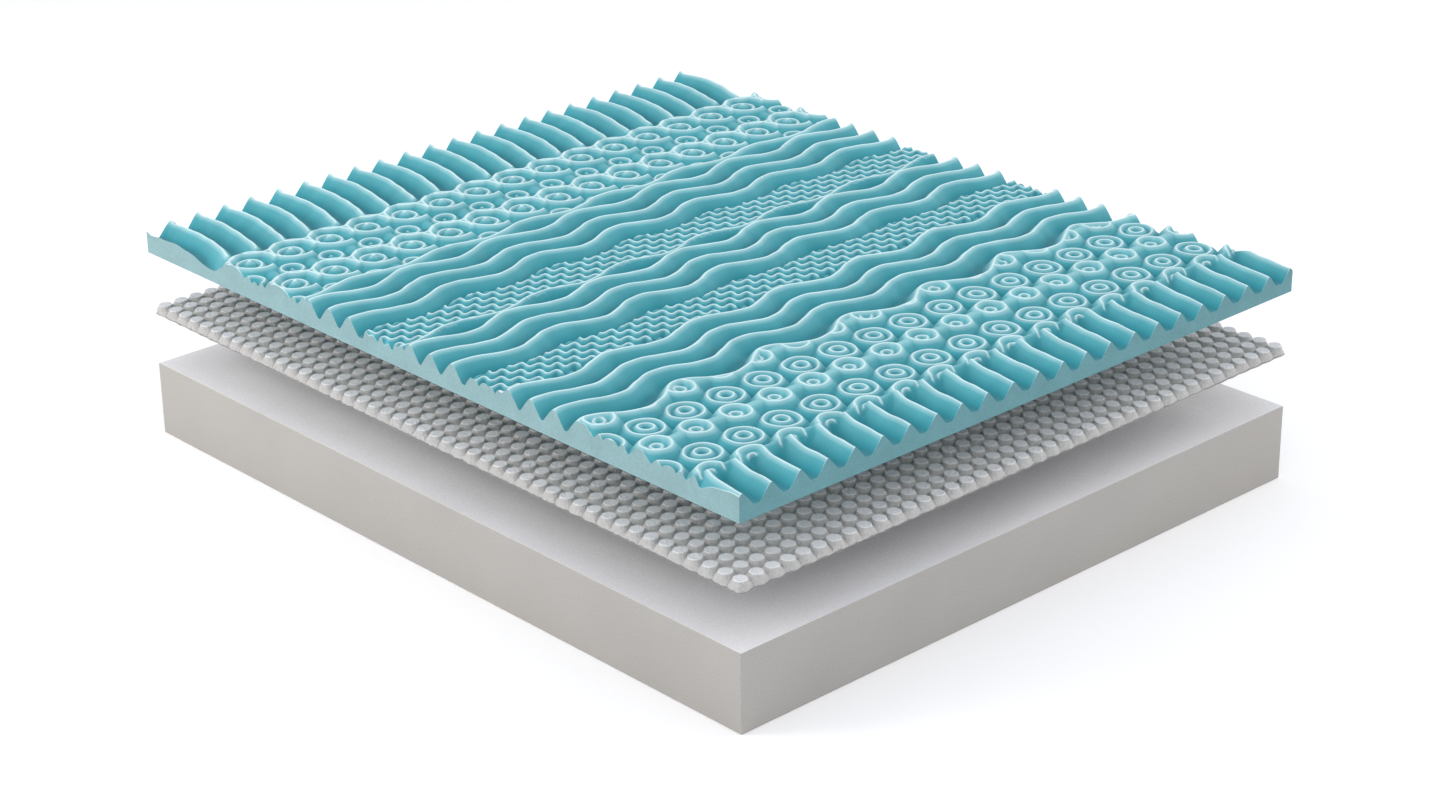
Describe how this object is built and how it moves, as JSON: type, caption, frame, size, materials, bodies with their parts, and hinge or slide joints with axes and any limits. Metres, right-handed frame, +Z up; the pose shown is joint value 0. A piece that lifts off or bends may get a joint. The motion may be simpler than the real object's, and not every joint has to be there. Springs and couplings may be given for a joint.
{
  "type": "memory foam mattress",
  "caption": "Coverless memory foam mattress of loose layers: thick foam base, thin pad of mini springs in nonwoven pockets, and a contour-cut top foam with zoned ridges and rings.",
  "frame": {"origin": "centre of the underside of the base foam, where the mattress rests on the bed", "axes": "+X across the width, +Y along the length of the bed, +Z up; the shown corner is at -X, -Y"},
  "size_m": [1.6, 1.9, 0.4946],
  "materials": {
    "base_foam": "off-white flexible foam with fine open pores",
    "nonwoven": "light grey spun-bonded nonwoven, matt and slightly wrinkled",
    "spring_wire": "drawn steel wire",
    "contour_foam": "teal memory foam, smooth and matt, paler on its crests"
  },
  "bodies": {
    "base": {"base_foam": "base_foam"},
    "spring_pad": {"lower_nonwoven_sheet": "nonwoven", "mini_spring_row_01": "spring_wire", "mini_spring_row_02": "spring_wire", "mini_spring_row_03": "spring_wire", "mini_spring_row_04": "spring_wire", "mini_spring_row_05": "spring_wire", "mini_spring_row_06": "spring_wire", "mini_spring_row_07": "spring_wire", "mini_spring_row_08": "spring_wire", "mini_spring_row_09": "spring_wire", "mini_spring_row_10": "spring_wire", "mini_spring_row_11": "spring_wire", "mini_spring_row_12": "spring_wire", "mini_spring_row_13": "spring_wire", "mini_spring_row_14": "spring_wire", "mini_spring_row_15": "spring_wire", "mini_spring_row_16": "spring_wire", "mini_spring_row_17": "spring_wire", "mini_spring_row_18": "spring_wire", "mini_spring_row_19": "spring_wire", "mini_spring_row_20": "spring_wire", "mini_spring_row_21": "spring_wire", "mini_spring_row_22": "spring_wire", "mini_spring_row_23": "spring_wire", "mini_spring_row_24": "spring_wire", "mini_spring_row_25": "spring_wire", "mini_spring_row_26": "spring_wire", "mini_spring_row_27": "spring_wire", "mini_spring_row_28": "spring_wire", "mini_spring_row_29": "spring_wire", "mini_spring_row_30": "spring_wire", "mini_spring_row_31": "spring_wire", "mini_spring_row_32": "spring_wire", "mini_spring_row_33": "spring_wire", "mini_spring_row_34": "spring_wire", "mini_spring_row_35": "spring_wire", "mini_spring_row_36": "spring_wire", "mini_spring_row_37": "spring_wire", "mini_spring_row_38": "spring_wire", "mini_spring_row_39": "spring_wire", "mini_spring_row_40": "spring_wire", "mini_spring_row_41": "spring_wire", "mini_spring_row_42": "spring_wire", "mini_spring_row_43": "spring_wire", "mini_spring_row_44": "spring_wire", "mini_spring_row_45": "spring_wire", "mini_spring_row_46": "spring_wire", "mini_spring_row_47": "spring_wire", "upper_nonwoven_sheet": "nonwoven"},
    "top_foam": {"contour_foam": "contour_foam"}
  },
  "joints": [
    {"name": "pad_lift", "type": "slide", "parent": "base", "child": "spring_pad", "axis": [0, 0, 1], "range_m": [-0.1195, 0]},
    {"name": "top_foam_lift", "type": "slide", "parent": "spring_pad", "child": "top_foam", "axis": [0, 0, 1], "range_m": [-0.1215, 0]}
  ]
}
